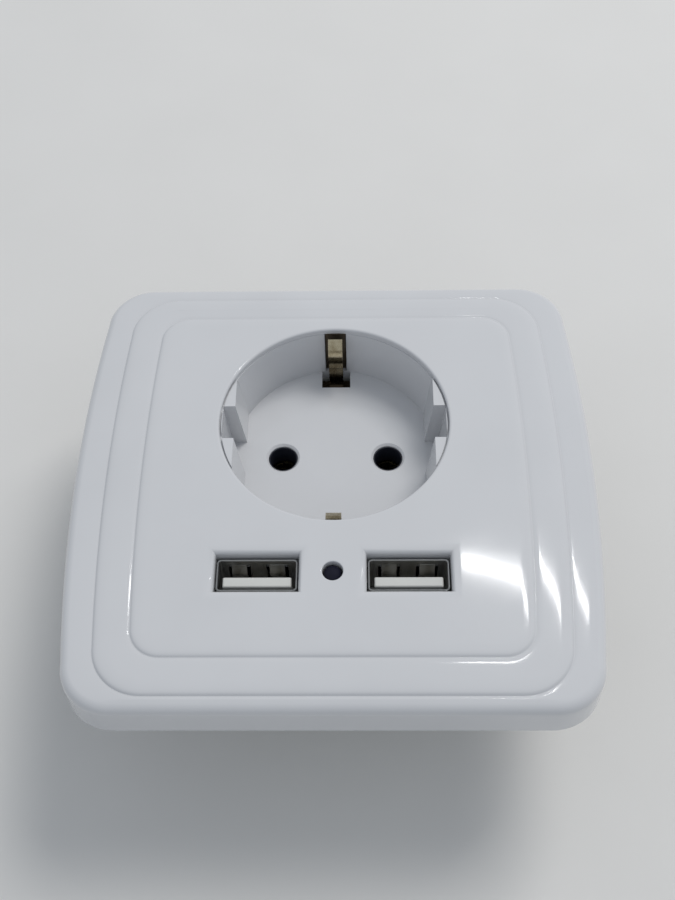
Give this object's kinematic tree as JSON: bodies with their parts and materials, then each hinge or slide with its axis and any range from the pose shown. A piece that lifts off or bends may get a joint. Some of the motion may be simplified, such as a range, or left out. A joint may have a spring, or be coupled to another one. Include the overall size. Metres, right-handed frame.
{
  "type": "usb wall socket",
  "caption": "Flush wall socket with a round earthed well, pin holes, an indicator lamp and two charging ports in a bowed square plate.",
  "frame": {"origin": "in the wall plane at the plate's back edge, midway between the two box screw slots", "axes": "+Z out of the wall through the face, +Y up the wall towards the round well, +X right seen from the front"},
  "size_m": [0.0888, 0.0842, 0.0395],
  "materials": {
    "cover_plastic": "glossy moulded thermoset",
    "zinc_steel": "bright zinc plated pressing",
    "base_plastic": "matt moulded housing",
    "carrier_plastic": "dark moulded insulator",
    "brass_strip": "stamped spring brass",
    "terminal_brass": "cut brass",
    "screw_steel": "zinc plated",
    "claw_steel": "passivated zinc",
    "board_laminate": "green lacquered laminate",
    "shell_steel": "nickel plated fold",
    "tongue_plastic": "pale moulded insulator",
    "gilt_contact": "gilt strip",
    "lamp_resin": "dark tinted resin",
    "ferrite": "sintered ferrite",
    "winding_tape": "yellow tape",
    "capacitor_sleeve": "shrunk sleeve"
  },
  "bodies": {
    "body": {"front_cover": "cover_plastic", "support_frame": "zinc_steel", "base_housing": "base_plastic", "contact_carrier": "carrier_plastic", "earth_bridge": "brass_strip", "line_contact": "brass_strip", "neutral_contact": "brass_strip", "frame_screws": "screw_steel", "charger_board": "board_laminate", "left_usb_shell": "shell_steel", "right_usb_shell": "shell_steel", "left_usb_tongue": "tongue_plastic", "right_usb_tongue": "tongue_plastic", "left_usb_contacts": "gilt_contact", "right_usb_contacts": "gilt_contact", "status_led": "lamp_resin", "transformer_core": "ferrite", "transformer_winding": "winding_tape", "input_capacitor": "capacitor_sleeve", "output_capacitor": "capacitor_sleeve"},
    "left_claw": {"left_claw": "claw_steel"},
    "right_claw": {"right_claw": "claw_steel"},
    "left_claw_screw": {"left_claw_screw": "screw_steel"},
    "right_claw_screw": {"right_claw_screw": "screw_steel"},
    "line_terminal": {"line_terminal": "terminal_brass"},
    "neutral_terminal": {"neutral_terminal": "terminal_brass"},
    "earth_terminal": {"earth_terminal": "terminal_brass"},
    "line_terminal_screw": {"line_terminal_screw": "screw_steel"},
    "neutral_terminal_screw": {"neutral_terminal_screw": "screw_steel"},
    "earth_terminal_screw": {"earth_terminal_screw": "screw_steel"}
  },
  "joints": [
    {"name": "left_claw_swing", "type": "hinge", "parent": "body", "child": "left_claw", "pos_m": [-0.0247, -0.0105, 0.0005], "axis": [0, 1, 0], "range_deg": [0, 24]},
    {"name": "left_claw_screw_turn", "type": "hinge", "parent": "left_claw", "child": "left_claw_screw", "pos_m": [-0.0279, -0.0105, 0], "axis": [0, 0, -1], "range_deg": [0, 960]},
    {"name": "right_claw_swing", "type": "hinge", "parent": "body", "child": "right_claw", "pos_m": [0.0247, -0.0105, 0.0005], "axis": [0, -1, 0], "range_deg": [0, 24]},
    {"name": "right_claw_screw_turn", "type": "hinge", "parent": "right_claw", "child": "right_claw_screw", "pos_m": [0.0279, -0.0105, 0], "axis": [0, 0, -1], "range_deg": [0, 960]},
    {"name": "line_clamp_travel", "type": "slide", "parent": "body", "child": "line_terminal", "axis": [0, 0, -1], "range_m": [0, 0.0028]},
    {"name": "line_screw_turn", "type": "hinge", "parent": "body", "child": "line_terminal_screw", "pos_m": [-0.0162, 0.0135, -0.026], "axis": [0, 0, 1], "range_deg": [0, 1680]},
    {"name": "neutral_clamp_travel", "type": "slide", "parent": "body", "child": "neutral_terminal", "axis": [0, 0, -1], "range_m": [0, 0.0028]},
    {"name": "neutral_screw_turn", "type": "hinge", "parent": "body", "child": "neutral_terminal_screw", "pos_m": [0.0162, 0.0135, -0.026], "axis": [0, 0, 1], "range_deg": [0, 1680]},
    {"name": "earth_clamp_travel", "type": "slide", "parent": "body", "child": "earth_terminal", "axis": [0, 0, -1], "range_m": [0, 0.0028]},
    {"name": "earth_screw_turn", "type": "hinge", "parent": "body", "child": "earth_terminal_screw", "pos_m": [0, 0.0165, -0.026], "axis": [0, 0, 1], "range_deg": [0, 1680]}
  ],
  "couplings": [
    {"joint": "left_claw_screw_turn", "follows": "left_claw_swing", "ratio": 40},
    {"joint": "right_claw_screw_turn", "follows": "right_claw_swing", "ratio": 40},
    {"joint": "line_screw_turn", "follows": "line_clamp_travel", "rad_per_m": 10472},
    {"joint": "neutral_screw_turn", "follows": "neutral_clamp_travel", "rad_per_m": 10472},
    {"joint": "earth_screw_turn", "follows": "earth_clamp_travel", "rad_per_m": 10472}
  ]
}
